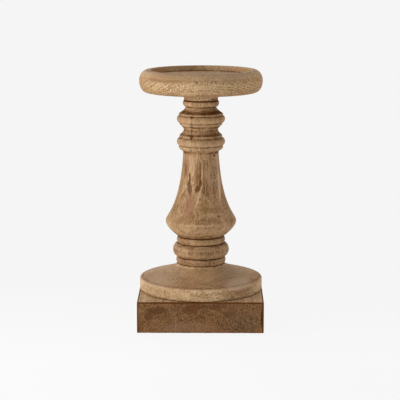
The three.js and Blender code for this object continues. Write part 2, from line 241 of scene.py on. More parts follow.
# Mango wood, sawn, turned and waxed. Faces along the grain are yellow-brown with long darker
# ribbons and short open pores; end grain shows growth rings with pale broken lines along them.
# Sizes are in millimetres, across the grain and then along it. The pores and lines are drawn
# coarser than the real 0.2 mm, so that they show. A "Run" is where a layer starts and where it is
# full, over the value that draws it.
mango = {
    "dark": "#734e2b", "middle": "#9e7952", "light": "#c5a37c", "tones": (0.15, 0.5, 0.85),
    # What side grain and end grain are multiplied by, and the painted shade that darkens faces that
    # look up. Their runs go over the squared cosine between the normal and the grain, and over the
    # normal's upward part.
    "sideTint": "#ffffff", "endTint": "#ffffff", "paintedTopShade": "#ffffff",
    "endRun": (0.15, 0.7), "endFigureRun": (0, 0.6), "topShadeRun": (0.5, 0.9),
    # Hues that come and go: colour, size across and along, most of it
    "hues": [("#99694b", 14, 90, 0.4), ("#9a7c45", 11, 60, 0.25)], "hueRun": (-0.02, 0.14),
    "hueSeed": 5,  # added to the wood's own
    "waver": 8, "waverSize": 40, "waverDraw": 4,  # reach, size, and how much longer along the grain
    "ring": (5, 0.35),  # spacing and weight
    "cloud": (22, 110, 0.9),  # width, length and weight
    "ribbon": (5, 80, 1.0),
    "fibre": (0.9, 20, 1.5),
    "speckle": (1.0, 1.8, 1.8),
    # Where the speckle is, and its least and most
    "patch": (14, 40, 1), "patchRun": (-0.08, 0.08), "patchRange": (0.35, 1.3),
    # Strokes in a radian, length outwards, length along the grain, weight; and the radius where they
    # have that number, which grows by this power of it
    "ray": (40, 6, 12, 0.8), "rayRadius": 40, "rayPower": 0.4,
    "rayOnSide": 0.3, "speckleOnEnd": 1.5,
    "poreColour": "#3f2814", "poreSize": (1.3, 6), "poreRun": (0.3, 0.135), "poreDarkness": 0.6,
    "poreSunk": 0.6,  # against the fibres
    "lineColour": "#dcc096", "lineSpacing": 4.6, "lineWidth": 0.17, "lineCore": 1 / 3,
    "lineSway": 2.5,  # how far the clouds bend the lines, in lines
    "dotSize": 1.3, "dotRun": (0.42, 0.58), "lineOnEnd": 0.6, "lineOnSide": 0.06,
    "lineBand": None,  # middle height, and how far off it the lines are full and gone
    # Single marks: how far forward, how deep they reach, how finely and which way they are torn, the
    # plateau of a faint one, and the raggedness from which they are broken into specks
    "marks": [], "markFront": -22, "markReach": 26, "tearSize": (2.5, 2.5), "markTear": (1, 1, 1),
    "markCore": 0.4, "speckedFrom": 4, "speckSize": 1.1, "speckRun": (0.52, 0.62), "speckLeast": 0.1,
    # Stain and painted shade in the grooves, with patches of more and less of it, and arrises lightened by
    # rubbed wear and painted light
    "grooveColour": "#5e350b", "grooveAmount": 0.95, "grooveRun": (-0.05, -0.4),
    "groovePatch": 7, "groovePatchRun": (0.35, 0.65), "groovePatchRange": (0.55, 1.3),
    "arrisAmount": 0.45, "arrisRun": (0.06, 0.35),
    "edgeLine": None,  # middle and half sizes of a block whose edges are dark, with the line's width
    "roughness": 0.6, "endDullness": 0.12, "grooveDullness": 0.25,
    "gloss": 0.16, "bump": 0.12, "bumpStrength": 0.6,
}


def sized(tree, space, width, length):
    # Space counted in widths across and in lengths upwards
    return calcVector(tree, "MULTIPLY", space, (1 / width, 1 / width, 1 / length))


def growthSpace(tree, inMillimetres, wood):
    # Space with the grain upright and the tree's heart line at its origin, gently wavering
    grain = Vector(wood["grain"]).normalized()
    turn = grain.rotation_difference(Vector((0, 0, 1)))
    upright = addNode(tree, "ShaderNodeMapping", {
        "Vector": inMillimetres, "Rotation": turn.to_euler(),
        "Location": -(turn @ Vector(wood["heart"]))})
    waver = mottle(tree, sized(tree, upright, 1, wood["waverDraw"]), wood["waverSize"], 2, wood["seed"])
    centred = calcVector(tree, "SUBTRACT", waver.outputs["Color"], (0.5, 0.5, 0.5))
    return calcVector(tree, "ADD", upright, scaled(tree, centred, wood["waver"]))


def layer(tree, space, seed, width, length, weight):
    # Stretched noise, centred on nought and weighed
    noisy = mottle(tree, sized(tree, space, width, length), 1, 3, seed, roughness=0.55)
    return calc(tree, "MULTIPLY_ADD", noisy, weight, -weight / 2)


def openPores(tree, space, wood):
    cells = addNode(tree, "ShaderNodeTexVoronoi", {
        "Vector": sized(tree, space, *wood["poreSize"]), "W": wood["seed"], "Scale": 1},
        voronoi_dimensions="4D")
    return between(tree, cells, *wood["poreRun"])


def rays(tree, height, flat, radius, wood):
    # Strokes that run out from the heart line; new ones start between them further out
    count, outwards, along, weight = wood["ray"]
    spread = calc(tree, "MULTIPLY", radius, 1 / wood["rayRadius"])
    spread = calc(tree, "POWER", spread, wood["rayPower"])
    spread = calc(tree, "MULTIPLY", spread, count)
    heading = scaled(tree, calcVector(tree, "NORMALIZE", flat), spread)
    far = addNode(tree, "ShaderNodeCombineXYZ", {"Z": calc(tree, "DIVIDE", radius, outwards)})
    drift = calc(tree, "MULTIPLY_ADD", height, 1 / along, wood["seed"])
    strokes = mottle(tree, calcVector(tree, "ADD", heading, far), 1, 2, drift, roughness=0.6)
    return calc(tree, "MULTIPLY_ADD", strokes, weight, -weight / 2)


def nearEdge(tree, inMillimetres, middle, halfSizes, width):
    # From nought to -1 towards the edges of a block
    centred = calcVector(tree, "ABSOLUTE", calcVector(tree, "SUBTRACT", inMillimetres, middle))
    inside = calcVector(tree, "SUBTRACT", halfSizes, centred)
    depth = addNode(tree, "ShaderNodeSeparateXYZ", [inside]).outputs
    edges = [calc(tree, "MAXIMUM", depth[one], depth[other]) for one, other in ((0, 1), (0, 2), (1, 2))]
    nearest = calc(tree, "MINIMUM", edges[2], calc(tree, "MINIMUM", edges[0], edges[1]))
    return between(tree, nearest, width / 3, width, -1, 0)


def figureOf(tree, grown, flat, radius, endness, wood):
    # Layers of figure. The speckle comes in patches and is stronger on end grain; the rays are weak
    # on side grain.
    height = addNode(tree, "ShaderNodeSeparateXYZ", [grown]).outputs[2]
    figure = {kind: layer(tree, grown, wood["seed"], *wood[kind])
              for kind in ("cloud", "ribbon", "fibre", "speckle", "patch")}
    patch = between(tree, figure.pop("patch"), *wood["patchRun"], *wood["patchRange"])
    figure["ray"] = rays(tree, height, flat, radius, wood)
    onEnd = between(tree, endness, *wood["endFigureRun"], 1, wood["speckleOnEnd"])
    onSide = between(tree, endness, *wood["endFigureRun"], wood["rayOnSide"], 1)
    for kind, share in (("speckle", patch), ("speckle", onEnd), ("ray", onSide)):
        figure[kind] = calc(tree, "MULTIPLY", figure[kind], share)
    return figure


def grainColour(tree, figure, radius, wood):
    # Growth rings, uneven in width and depth, with the figure over them
    spacing, weight = wood["ring"]
    ring = addNode(tree, "ShaderNodeTexNoise", {
        "W": calc(tree, "DIVIDE", radius, spacing), "Scale": 1, "Detail": 3, "Roughness": 0.6},
        noise_dimensions="1D")
    tone = calc(tree, "MULTIPLY_ADD", ring, weight, 0.5 - weight / 2)
    for part in figure.values():
        tone = calc(tree, "ADD", tone, part)
    ramp = addNode(tree, "ShaderNodeValToRGB", [tone])
    ramp.color_ramp.elements.new(0.5)
    for element, spot, kind in zip(ramp.color_ramp.elements, wood["tones"], ("dark", "middle", "light")):
        element.position, element.color = spot, linear(wood[kind])
    return ramp.outputs["Color"]


def paleLines(tree, inMillimetres, radius, cloud, endness, wood):
    # Pale lines along the rings, broken into dots
    turns = calc(tree, "MULTIPLY", radius, 1 / wood["lineSpacing"])
    turns = calc(tree, "MULTIPLY_ADD", cloud, wood["lineSway"], turns)
    beside = calc(tree, "PINGPONG", turns, 0.5)
    line = between(tree, beside, wood["lineWidth"], wood["lineWidth"] * wood["lineCore"])
    dots = between(tree, mottle(tree, inMillimetres, wood["dotSize"], 1), *wood["dotRun"])
    line = calc(tree, "MULTIPLY", line, dots)
    if wood["lineBand"]:
        middle, full, gone = wood["lineBand"]
        height = addNode(tree, "ShaderNodeSeparateXYZ", [inMillimetres]).outputs[2]
        off = calc(tree, "ABSOLUTE", calc(tree, "SUBTRACT", height, middle))
        line = calc(tree, "MULTIPLY", line, between(tree, off, full, gone, 1, 0))
    most = between(tree, endness, *wood["endFigureRun"], wood["lineOnSide"], wood["lineOnEnd"])
    return calc(tree, "MULTIPLY", line, most)


def singleMarks(tree, inMillimetres, wood):
    # Stains, streaks and pins, each a ragged ellipse with a crisper edge the stronger it is
    rough = mottle(tree, sized(tree, inMillimetres, *wood["tearSize"]), 1, 3).outputs["Color"]
    rough = calcVector(tree, "SUBTRACT", rough, (0.5, 0.5, 0.5))
    rough = calcVector(tree, "MULTIPLY", rough, wood["markTear"])
    specks = mottle(tree, inMillimetres, wood["speckSize"], 1)
    specks = between(tree, specks, *wood["speckRun"], wood["speckLeast"], 1)
    marks = []
    for x, z, halfWidth, halfHeight, hexColour, strength, ragged, *lean in wood["marks"]:
        moved = calcVector(tree, "MULTIPLY_ADD", rough, (ragged,) * 3, inMillimetres)
        near = addNode(tree, "ShaderNodeMapping", {
            "Vector": moved, "Location": (x, wood["markFront"], z),
            "Rotation": (0, math.radians(sum(lean)), 0),
            "Scale": (halfWidth, wood["markReach"], halfHeight),
        }, vector_type="TEXTURE")
        far = calcVector(tree, "LENGTH", near).outputs["Value"]
        share = between(tree, far, 1, wood["markCore"] * (1 + strength), 0, strength)
        if ragged >= wood["speckedFrom"]:
            share = calc(tree, "MULTIPLY", share, specks)
        marks.append((share, hexColour, "MIX"))
    return marks


def grooveStainAndShade(tree, inMillimetres, wood):
    # How much wax, dust and painted shade darken the grooves, or wax and dust a block's edges, and how far
    # arrises are lightened by rubbing and painted light
    relief = addNode(tree, "ShaderNodeAttribute", [], attribute_name="relief").outputs["Fac"]
    if wood["edgeLine"]:
        relief = nearEdge(tree, inMillimetres, *wood["edgeLine"])
    patchy = mottle(tree, inMillimetres, wood["groovePatch"], 3)
    patchy = between(tree, patchy, *wood["groovePatchRun"], *wood["groovePatchRange"])
    relief = calc(tree, "MULTIPLY", relief, patchy)
    return (between(tree, relief, *wood["grooveRun"], 0, wood["grooveAmount"]),
            between(tree, relief, *wood["arrisRun"], 0, wood["arrisAmount"]))


def woodMaterial(name, wood):
    material, tree = newMaterial(name)
    place = addNode(tree, "ShaderNodeTexCoord", []).outputs
    inMillimetres = calcVector(tree, "MULTIPLY", place["Object"], (1 / mm,) * 3)
    grown = growthSpace(tree, inMillimetres, wood)
    flat = calcVector(tree, "MULTIPLY", grown, (1, 1, 0))
    radius = calcVector(tree, "LENGTH", flat).outputs["Value"]
    facing = calcVector(tree, "DOT_PRODUCT", place["Normal"], Vector(wood["grain"]).normalized())
    facing = facing.outputs["Value"]
    endness = calc(tree, "MULTIPLY", facing, facing)
    up = addNode(tree, "ShaderNodeSeparateXYZ", [place["Normal"]]).outputs[2]
    figure = figureOf(tree, grown, flat, radius, endness, wood)

    # What lies over the grain, in order: how much of which colour
    endShare = between(tree, endness, *wood["endRun"])
    tint = blend(tree, endShare, linear(wood["sideTint"]), linear(wood["endTint"]))
    # Side and end grain tints, then the painted shade on faces that look up
    over = [(1, tint, "MULTIPLY"), (between(tree, up, *wood["topShadeRun"]), wood["paintedTopShade"], "MULTIPLY")]
    for number, (hexColour, width, length, most) in enumerate(wood["hues"]):
        hue = layer(tree, grown, wood["seed"] + wood["hueSeed"] + number, width, length, 1)
        over.append((between(tree, hue, *wood["hueRun"], 0, most), hexColour, "MIX"))
    pores = openPores(tree, grown, wood)
    over.append((calc(tree, "MULTIPLY", pores, wood["poreDarkness"]), wood["poreColour"], "MIX"))
    lines = paleLines(tree, inMillimetres, radius, figure["cloud"], endness, wood)
    over.append((lines, wood["lineColour"], "MIX"))
    over += singleMarks(tree, inMillimetres, wood)
    # Grooves darkened by stain and painted shade, arrises lightened by wear and painted light
    stainAndShade, rubbedAndLit = grooveStainAndShade(tree, inMillimetres, wood)
    over += [(stainAndShade, wood["grooveColour"], "MIX"), (rubbedAndLit, wood["light"], "MIX")]
    colour = grainColour(tree, figure, radius, wood)
    for share, paint, kind in over:
        paint = linear(paint) if isinstance(paint, str) else paint
        colour = blend(tree, share, colour, paint, kind)

    dull = calc(tree, "MULTIPLY_ADD", endness, wood["endDullness"], wood["roughness"])
    dull = calc(tree, "MULTIPLY_ADD", stainAndShade, wood["grooveDullness"], dull)
    sunk = calc(tree, "MULTIPLY_ADD", pores, -wood["poreSunk"], figure["fibre"])
    coat(tree, {"Base Color": colour, "Roughness": dull, "Specular IOR Level": wood["gloss"]},
         sunk, wood["bump"], wood["bumpStrength"])
    return material


# Zinc-plated steel, cold headed and threaded: bright, slightly blue, with a fine dull bloom
zincPlate = {
    "dull": "#9ea3a8", "bright": "#d3d6d8", "bloomSize": 1.5, "bloomRun": (0.3, 0.7),
    "roughness": (0.28, 0.46), "bump": 0.02, "bumpStrength": 0.3,
}


def zincMaterial(plate):
    material, tree = newMaterial("zincPlatedSteel")
    place = addNode(tree, "ShaderNodeTexCoord", []).outputs["Object"]
    bloom = mottle(tree, place, plate["bloomSize"] * mm, 4)
    colour = blend(tree, bloom, linear(plate["dull"]), linear(plate["bright"]))
    rough = between(tree, bloom, *plate["bloomRun"], *plate["roughness"])
    coat(tree, {"Base Color": colour, "Metallic": 1.0, "Roughness": rough}, bloom,
         plate["bump"], plate["bumpStrength"])
    return material


# Pressed wool felt: matt, mottled by its fibres, with a soft fuzz at the edge
woolFelt = {
    "dark": "#2b221c", "light": "#5b4c3f", "fibreSize": 0.7, "fibreRoughness": 0.7,
    "roughness": 0.95, "fuzz": 0.4, "bump": 0.15, "bumpStrength": 0.8,
}


def feltMaterial(wool):
    material, tree = newMaterial("pressedWoolFelt")
    place = addNode(tree, "ShaderNodeTexCoord", []).outputs["Object"]
    fibres = mottle(tree, place, wool["fibreSize"] * mm, 6, roughness=wool["fibreRoughness"])
    colour = blend(tree, fibres, linear(wool["dark"]), linear(wool["light"]))
    coat(tree, {"Base Color": colour, "Roughness": wool["roughness"], "Sheen Weight": wool["fuzz"]},
         fibres, wool["bump"], wool["bumpStrength"])
    return material


# One lathe for every turned piece: it spins an outline, keeps its relief and can cut a thread
latheSettings = {
    "ridge": 0.3,  # half width of the thread's ridge, in pitches
    "runOut": 2, "unevenness": 30, "toolStep": 1.6, "weld": 0.005,
    "stillWithin": 1,  # the tool shakes less nearer the axis than this
}
latheInputs = {
    "outline": "Geometry", "sides": "Int", "wobble": "Float", "toolMarks": "Float", "seed": "Float",
    "threadDepth": "Float", "threadPitch": "Float", "threadLow": "Float", "threadHigh": "Float",
    "crease": "Float", "material": "Material",
}


def threadRidge(tree, given, angle, height, settings):
    # A ridge that climbs one pitch a turn, run out at both ends
    climb = calc(tree, "DIVIDE", height, given["threadPitch"])
    phase = calc(tree, "MULTIPLY_ADD", angle, 1 / (2 * math.pi), climb)
    phase = calc(tree, "SUBTRACT", calc(tree, "FLOORED_MODULO", phase, 1), 0.5)
    ridge = between(tree, calc(tree, "ABSOLUTE", phase), 0, settings["ridge"], 1, 0)
    for end, outwards in (("threadLow", 1), ("threadHigh", -1)):
        inside = calc(tree, "SUBTRACT", height, given[end])
        inside = calc(tree, "MULTIPLY", inside, outwards / (settings["runOut"] * mm), use_clamp=True)
        ridge = calc(tree, "MULTIPLY", ridge, inside)
    return calc(tree, "MULTIPLY", ridge, given["threadDepth"])


def makeLathe(settings):
    tree = bpy.data.node_groups.new("lathe", "GeometryNodeTree")
    for name, kind in latheInputs.items():
        tree.interface.new_socket(name=name, in_out="INPUT", socket_type="NodeSocket" + kind)
    tree.interface.new_socket(name="turned", in_out="OUTPUT", socket_type="NodeSocketGeometry")
    given = addNode(tree, "NodeGroupInput", []).outputs

    count = addNode(tree, "GeometryNodeAttributeDomainSize", [given["outline"]])
    rows = calc(tree, "ADD", given["sides"], 1)
    grid = addNode(tree, "GeometryNodeMeshGrid", {"Vertices X": count, "Vertices Y": rows})
    index = addNode(tree, "GeometryNodeInputIndex", [])
    along = calc(tree, "FLOOR", calc(tree, "DIVIDE", index, rows))
    turn = calc(tree, "MULTIPLY", calc(tree, "MODULO", index, rows), -2 * math.pi)
    angle = calc(tree, "DIVIDE", turn, given["sides"])
    cosine, sine = calc(tree, "COSINE", angle), calc(tree, "SINE", angle)

    spot = addNode(tree, "GeometryNodeSampleIndex", {
        "Geometry": given["outline"], "Value": addNode(tree, "GeometryNodeInputPosition", []),
        "Index": along}, data_type="FLOAT_VECTOR")
    relief = addNode(tree, "GeometryNodeSampleIndex", {
        "Geometry": given["outline"],
        "Value": addNode(tree, "GeometryNodeInputNamedAttribute", {"Name": "relief"}, data_type="FLOAT"),
        "Index": along}, data_type="FLOAT")
    split = addNode(tree, "ShaderNodeSeparateXYZ", [spot]).outputs
    radius, height = split[0], split[2]

    def spunTo(reach):
        return addNode(tree, "ShaderNodeCombineXYZ", [
            calc(tree, "MULTIPLY", reach, cosine), calc(tree, "MULTIPLY", reach, sine), height])

    # A hand-held tool: slow unevenness round the piece, and faint rings
    reach = threadRidge(tree, given, angle, height, settings)
    uneven = mottle(tree, spunTo(radius), settings["unevenness"] * mm, 1, given["seed"])
    rings = addNode(tree, "ShaderNodeTexNoise", {
        "W": calc(tree, "MULTIPLY_ADD", height, 1 / (settings["toolStep"] * mm), given["seed"]),
        "Scale": 1, "Detail": 2}, noise_dimensions="1D")
    near = calc(tree, "MULTIPLY", radius, 1 / (settings["stillWithin"] * mm), use_clamp=True)
    for pattern, amount in ((uneven, "wobble"), (rings, "toolMarks")):
        centred = calc(tree, "MULTIPLY", calc(tree, "SUBTRACT", pattern, 0.5), given[amount])
        reach = calc(tree, "ADD", reach, calc(tree, "MULTIPLY", centred, near))
    reach = calc(tree, "ADD", radius, reach)

    spun = addNode(tree, "GeometryNodeSetPosition", {"Geometry": grid, "Position": spunTo(reach)})
    spun = addNode(tree, "GeometryNodeStoreNamedAttribute", {
        "Geometry": spun, "Name": "relief", "Value": relief}, data_type="FLOAT", domain="POINT")
    spun = addNode(tree, "GeometryNodeMergeByDistance", {
        "Geometry": spun, "Distance": settings["weld"] * mm})
    spun = addNode(tree, "GeometryNodeSetShadeSmooth", {
        "Geometry": spun, "Shade Smooth": True}, domain="FACE")
    bend = addNode(tree, "GeometryNodeInputMeshEdgeAngle", [])
    sharp = calc(tree, "GREATER_THAN", bend, given["crease"])
    spun = addNode(tree, "GeometryNodeSetShadeSmooth", {
        "Geometry": spun, "Selection": sharp, "Shade Smooth": False}, domain="EDGE")
    spun = addNode(tree, "GeometryNodeRealizeInstances", [spun])
    spun = addNode(tree, "GeometryNodeSetMaterial", {"Geometry": spun, "Material": given["material"]})
    addNode(tree, "NodeGroupOutput", [spun])
    return tree


lathe = makeLathe(latheSettings)

# Outlines are half sections, in millimetres: (radius, height), anticlockwise round the solid


def bend(outline, *controls, steps=24):
    # A curve from the last point, with one or two control points before its end
    spots = [np.array(p, float) for p in (outline[-1], *controls)]
    for t in np.arange(1, steps + 1) / steps:
        row = spots
        while len(row) > 1:
            row = [a * (1 - t) + b * t for a, b in zip(row, row[1:])]
        outline.append(tuple(row[0]))


def quarter(outline, centre, width, height, start, steps=12):
    # A quarter of an ellipse, from the start angle in degrees, anticlockwise
    for t in np.arange(1, steps + 1) / steps:
        angle = math.radians(start + 90 * t)
        outline.append((centre[0] + width * math.cos(angle), centre[1] + height * math.sin(angle)))


def rise(outline, radius, height):
    outline.append((radius, outline[-1][1] + height))


def curve(outline, steps, *controls):
    level = outline[-1][1]
    bend(outline, *((radius, level + height) for radius, height in controls), steps=steps)


def bead(outline, full, below, above, topRadius=None):
    radius, level = outline[-1]
    quarter(outline, (radius, level + below), full - radius, below, -90)
    radius = topRadius or radius
    quarter(outline, (radius, level + below), full - radius, above, 0)


def soften(outline, radius, sharp=25, mostOfSide=0.45, steps=4):
    # Rounds each corner that turns by more than some degrees off by a small curve
    points = [np.array(p, float) for p in outline]
    soft = [points[0]]
    for before, here, after in zip(points, points[1:], points[2:]):
        back, ahead = before - here, after - here
        backLength, aheadLength = np.linalg.norm(back), np.linalg.norm(ahead)
        if min(backLength, aheadLength) < tiny:
            continue
        straight = -np.dot(back, ahead) / (backLength * aheadLength)
        if straight > math.cos(math.radians(sharp)):
            soft.append(here)
            continue
        start = here + back / backLength * min(radius, backLength * mostOfSide)
        end = here + ahead / aheadLength * min(radius, aheadLength * mostOfSide)
        for t in np.arange(steps + 1) / steps:
            soft.append(start * (1 - t) ** 2 + here * 2 * t * (1 - t) + end * t ** 2)
    return soft + [points[-1]]


def fill(outline, longest):
    # Adds points on long straight stretches, so that unevenness shows there too
    filled = [outline[0]]
    for here, after in zip(outline, outline[1:]):
        pieces = max(1, math.ceil(np.linalg.norm(np.subtract(after, here)) / longest))
        filled += [np.add(here, np.subtract(after, here) * (i + 1) / pieces) for i in range(pieces)]
    return np.array(filled)


def reliefOf(outline, reach=1.3, step=0.1, tail=3):
    # How far each point stands out from its surroundings, which a bell curve weighs, in millimetres
    lengths = np.concatenate([[0], np.cumsum(np.linalg.norm(np.diff(outline, axis=0), axis=1))])
    stops = np.arange(0, lengths[-1], step)
    fine = np.stack([np.interp(stops, lengths, outline[:, i]) for i in (0, 1)], 1)
    half = int(tail * reach / step)
    weights = np.exp(-0.5 * (np.arange(-half, half + 1) * step / reach) ** 2)
    weights /= weights.sum()
    padded = np.pad(fine, ((half, half), (0, 0)), mode="edge")
    smooth = np.stack([np.convolve(padded[:, i], weights, "valid") for i in (0, 1)], 1)
    ahead = np.gradient(smooth, axis=0)
    ahead /= np.maximum(np.linalg.norm(ahead, axis=1, keepdims=True), tiny)
    outwards = np.stack([ahead[:, 1], -ahead[:, 0]], 1)
    return np.interp(lengths, stops, ((fine - smooth) * outwards).sum(1))


def stainedShadedAndLit(outline, relief, stainsShadeAndLight):
    # Stain and painted shade round a height count as if they lay in a groove, and painted light
    # there, with a strength under nought, as if it stood out: (height, reach, strength)
    for height, reach, strength in stainsShadeAndLight:
        relief = relief - strength * np.exp(-((outline[:, 1] - height) / reach) ** 2)
    return relief


def plainMesh(name, thing):
    # The evaluated object as a plain mesh of its own
    graph = bpy.context.evaluated_depsgraph_get()
    mesh = bpy.data.meshes.new_from_object(thing.evaluated_get(graph))
    discard(thing)
    mesh.name = name
    return putInScene(name, mesh)


def turnPiece(name, outline, material, at=(0, 0, 0), upsideDown=False, softness=0.25, longest=3,
              stainsShadeAndLight=(), **inputs):
    # Inputs are the lathe's, whose lengths are in metres; all others are in millimetres
    outline = fill(soften(outline, softness), longest)
    relief = stainedShadedAndLit(outline, reliefOf(outline), stainsShadeAndLight)
    blank = bpy.data.meshes.new(name + "Outline")
    blank.from_pydata([(r * mm, 0, h * mm) for r, h in outline],
                      [(i, i + 1) for i in range(len(outline) - 1)], [])
    blank.attributes.new("relief", "FLOAT", "POINT").data.foreach_set("value", relief.astype(np.float32))
    thing = putInScene(name + "Outline", blank)
    modifier = thing.modifiers.new("lathe", "NODES")
    modifier.node_group = lathe
    settings = {
        "sides": 144, "wobble": 0.0, "toolMarks": 0.0, "seed": 1.0, "threadDepth": 0.0,
        "threadPitch": 1 * mm, "threadLow": 0.0, "threadHigh": 0.0, "crease": math.radians(38),
        "material": material, **inputs,
    }
    for socket in lathe.interface.items_tree:
        if socket.in_out == "INPUT" and socket.name in settings:
            modifier[socket.identifier] = settings[socket.name]
    piece = plainMesh(name, thing)
    if upsideDown:
        for vertex in piece.data.vertices:
            vertex.co.yz = -vertex.co.yz
    piece.data.transform(Matrix.Translation(Vector(at) * mm))
    return piece


def cubeAt(centre, size):
    block = bmesh.new()
    bmesh.ops.create_cube(block, size=1)
    bmesh.ops.scale(block, vec=size, verts=block.verts)
    bmesh.ops.translate(block, vec=centre, verts=block.verts)
    return block


def pieceOf(block, name, material=None):
    mesh = bpy.data.meshes.new(name)
    block.to_mesh(mesh)
    block.free()
    if material:
        mesh.materials.append(material)
    return putInScene(name, mesh)


def cut(piece, cutters, operation="DIFFERENCE"):
    # Takes the cutters away from the piece, as drills do, or leaves what they share
    for cutter in cutters:
        modifier = piece.modifiers.new("cut", "BOOLEAN")
        modifier.operation = operation
        modifier.solver = "EXACT"
        modifier.object = cutter
    name = piece.name
    piece.name = name + "Blank"
    done = plainMesh(name, piece)
    for cutter in cutters:
        discard(cutter)
    return done


def drill(at, low, *steps):
    # A drill from below the given height up: the radius and the top of each step
    line = [(0, low - clearOf)]
    for radius, top in steps:
        line += [(radius, line[-1][1]), (radius, top)]
    return turnPiece("drill", line + [(0, line[-1][1])], None, at=(*at, 0), softness=0, longest=99,
                     sides=drillSides)


def hand(piece, slotName, *nodes):
    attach(piece, "root")
    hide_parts(*nodes)
    print("made", piece.name, len(piece.data.polygons), "faces")
    return piece


def levelsOf(node):
    low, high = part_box(node)
    return low.z / mm, high.z / mm


# Column, one blank with all its mouldings
columnShape = {
    "footSpigot": (10, 18), "plateSpigot": (7.5, 12), "spigotChamfer": 1,
    "footPilot": (2.4, 31), "platePilot": (1.8, 27),
    # From the foot up, each from where the last one ends. Rise: radius, height. Bead: full radius,
    # height below and above that, radius at its top if another. Curve: steps, and the points that
    # draw it, by radius and height.
    "profile": [
        ("rise", 21.8, 0),
        ("bead", 24.15, 3.45, 3.45), ("bead", 27.3, 6.7, 6.7), ("bead", 23.5, 3.2, 3.2),
        ("curve", 24, (34.3, 9.3), (34.3, 15.4)),  # belly
        ("curve", 40, (34.3, 5.6), (20.1, 13), (17.1, 67.3)),  # bell
        ("curve", 12, (17.1, 1.9), (21.3, 2.4), (21.3, 4.3)),  # flare of the neck
        ("rise", 21.3, 1.8), ("rise", 20.4, 0.4), ("bead", 23.3, 3.8, 3.6), ("rise", 20.6, 0.4),
        ("rise", 20.6, 2.1), ("curve", 12, (16.5, 3.2), (16.5, 5.2)),  # cove
        ("curve", 12, (16.5, 2), (20.6, 5.1)), ("rise", 20.6, 1.2),
        ("rise", 20.4, 0.4), ("bead", 23.25, 4.2, 3), ("rise", 21.4, 0.4), ("rise", 21.4, 1.3),
        ("curve", 16, (14.8, 4.1), (14.8, 6.8)), ("bead", 17.5, 3.5, 2.6, 15.9),
    ],
    # Stain and painted shade, and painted light with a strength under nought: height over the foot or depth
    # under the plate, reach and strength
    "stainShadeAndLightFromTop": [
        (0.1, 0.8, 1.2), (5.6, 0.5, 0.5), (7.4, 1, -0.4), (11.4, 2, 0.4), (19.4, 1.2, -0.25),
        (21.2, 0.5, 0.4), (22.8, 0.8, -0.6), (24.9, 0.9, 0.4), (33.2, 1.5, 0.42),
        (35, 0.8, -0.5), (40.4, 2, -0.25), (45.1, 0.8, -0.4), (47.5, 0.9, 0.15),
    ],
    "stainShadeAndLightFromBottom": [
        (0, 0.9, 0.8), (7, 0.8, 0.7), (11.2, 1.2, -0.25), (16.6, 1, -0.3),
        (20.4, 0.8, 0.3), (27.4, 0.9, 0.35), (30.5, 2.2, 0.2), (36, 4, -0.35),
    ],
}


def stainShadeAndLightHeights(shape, low, high):
    # Where stain and painted shade lie, and painted light with a strength under nought
    return [(high - down, reach, strength) for down, reach, strength in shape["stainShadeAndLightFromTop"]] + [
        (low + up, reach, strength) for up, reach, strength in shape["stainShadeAndLightFromBottom"]]


def columnOutline(shape):
    low, high = levelsOf("column")
    chamfer = shape["spigotChamfer"]
    spigot, spigotLength = shape["footSpigot"]
    pilot, pilotDepth = shape["footPilot"]
    line = [
        (0, low + pilotDepth), (pilot, low + pilotDepth), (pilot, low), (spigot - chamfer, low),
        (spigot, low + chamfer), (spigot, low + spigotLength),
    ]
    mouldings = {"rise": rise, "bead": bead, "curve": curve}
    for kind, *values in shape["profile"]:
        mouldings[kind](line, *values)
    spigot, spigotLength = shape["plateSpigot"]
    pilot, pilotDepth = shape["platePilot"]
    return line + [
        (spigot, high - spigotLength), (spigot, high - chamfer), (spigot - chamfer, high),
        (pilot, high), (pilot, high - pilotDepth), (0, high - pilotDepth),
    ]


